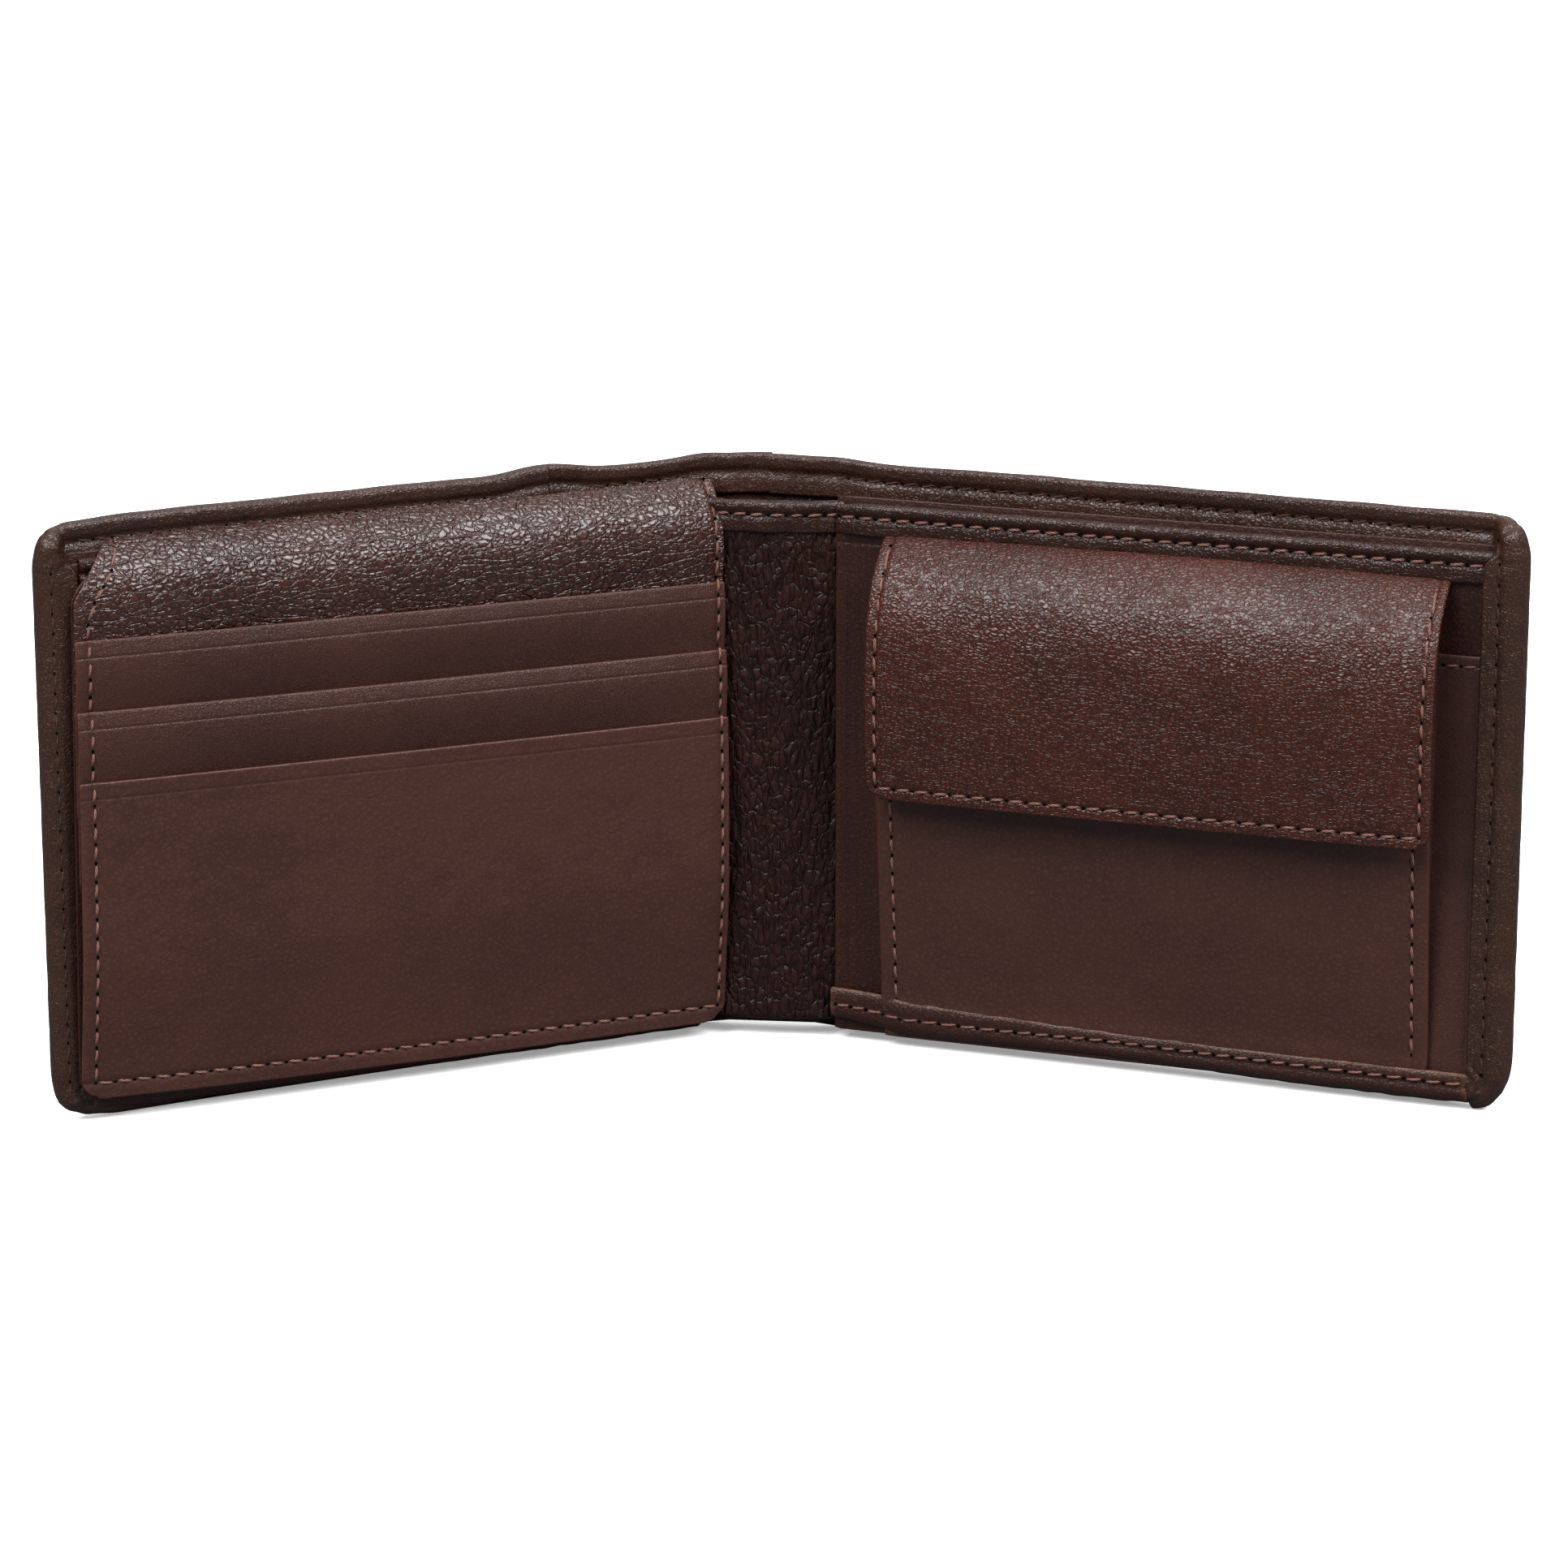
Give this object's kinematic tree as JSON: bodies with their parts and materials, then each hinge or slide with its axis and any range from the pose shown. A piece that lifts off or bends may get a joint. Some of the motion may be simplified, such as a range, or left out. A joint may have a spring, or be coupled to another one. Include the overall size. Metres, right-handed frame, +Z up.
{
  "type": "bifold wallet",
  "caption": "Leather bifold wallet standing half open, with a hinged card leaf on the left and a flapped coin pocket and slip pocket on the right.",
  "frame": {"origin": "centre of the footprint, on the surface the lower edge stands on", "axes": "+X to the right along the open width seen from inside, +Y towards the outer back of the spine, +Z up the wallet"},
  "size_m": [0.2282, 0.0584, 0.095],
  "materials": {
    "cover_leather": "pebbled grain, semi-matt",
    "inner_leather": "crackled grain, semi-matt",
    "pocket_leather": "fine grain, satin",
    "lining_cloth": "matt twill",
    "stitching": "waxed thread, matt",
    "stud_steel": "satin"
  },
  "bodies": {
    "spine": {"spine_cover": "cover_leather", "spine_lining": "lining_cloth", "spine_turned_edge_top": "cover_leather", "spine_turned_edge_bottom": "cover_leather", "inner_spine_strip": "inner_leather", "spine_strip_binding": "inner_leather", "spine_top_seam": "stitching", "spine_binding_seam": "stitching", "spine_bottom_gusset": "inner_leather"},
    "right_half": {"cover_right": "cover_leather", "right_lining": "lining_cloth", "right_top_turned_edge": "cover_leather", "right_side_turned_edge": "cover_leather", "right_top_seam": "stitching", "right_side_seam": "stitching", "right_bottom_gusset": "inner_leather"},
    "left_half": {"cover_left": "cover_leather", "left_lining": "lining_cloth", "left_top_turned_edge": "cover_leather", "left_side_turned_edge": "cover_leather", "left_top_seam": "stitching", "left_side_seam": "stitching", "left_bottom_gusset": "inner_leather"},
    "right_inner": {"right_bill_divider": "inner_leather", "right_inner_panel": "inner_leather", "right_slip_pocket": "inner_leather", "right_top_binding": "inner_leather", "right_bottom_flange": "inner_leather", "right_binding_seam": "stitching", "right_bottom_seam": "stitching", "slip_pocket_seam": "stitching", "coin_gusset_left": "pocket_leather", "coin_gusset_right": "pocket_leather"},
    "coin_front": {"coin_pocket_front": "pocket_leather", "coin_front_lining": "lining_cloth", "snap_stud": "stud_steel", "snap_post": "stud_steel", "coin_seam_left": "stitching", "coin_seam_right": "stitching"},
    "coin_flap": {"coin_flap_leather": "pocket_leather", "coin_flap_lining": "inner_leather", "snap_socket": "stud_steel", "coin_flap_seam": "stitching"},
    "left_inner": {"left_bill_divider": "inner_leather", "left_inner_panel": "inner_leather", "left_top_binding": "inner_leather", "left_bottom_flange": "inner_leather"},
    "card_leaf": {"leaf_back": "inner_leather", "leaf_top_panel": "pocket_leather", "card_slot_1": "pocket_leather", "card_slot_2": "pocket_leather", "card_slot_3": "pocket_leather", "leaf_seam": "stitching"}
  },
  "joints": [
    {"name": "left_fold", "type": "hinge", "parent": "spine", "child": "left_half", "pos_m": [-0.01088, 0.02804, 0.0475], "axis": [0, 0, 1], "range_deg": [-32.6, 57.4], "deforming": ["inner_spine_strip", "spine_strip_binding", "spine_binding_seam", "spine_bottom_gusset"]},
    {"name": "right_fold", "type": "hinge", "parent": "spine", "child": "right_half", "pos_m": [0.01088, 0.02481, 0.0475], "axis": [0, 0, -1], "range_deg": [-15.7, 74.3]},
    {"name": "left_bill_opening", "type": "hinge", "parent": "left_half", "child": "left_inner", "pos_m": [-0.11105, -0.0184, 0.0475], "axis": [0, 0, 1], "range_deg": [-1, 1.3], "deforming": ["left_bottom_gusset"]},
    {"name": "right_bill_opening", "type": "hinge", "parent": "right_half", "child": "right_inner", "pos_m": [0.11105, -0.02164, 0.0475], "axis": [0, 0, -1], "range_deg": [-1.5, 2], "deforming": ["right_bottom_gusset"]},
    {"name": "card_leaf_swing", "type": "hinge", "parent": "left_inner", "child": "card_leaf", "pos_m": [-0.00886, 0.02031, 0.0475], "axis": [0, 0, -1], "range_deg": [-110, 0]},
    {"name": "coin_flap_lift", "type": "hinge", "parent": "right_inner", "child": "coin_flap", "pos_m": [0.0586, -0.00353, 0.0848], "axis": [0.9262, -0.377, 0], "range_deg": [-130, 0]},
    {"name": "coin_front_tilt", "type": "hinge", "parent": "right_inner", "child": "coin_front", "pos_m": [0.05906, -0.00242, 0.0078], "axis": [0.9262, -0.377, 0], "range_deg": [0, 9.5], "deforming": ["coin_gusset_left", "coin_gusset_right"]}
  ],
  "couplings": [
    {"joint": "coin_front_tilt", "follows": "coin_flap_lift", "ratio": -0.07}
  ]
}
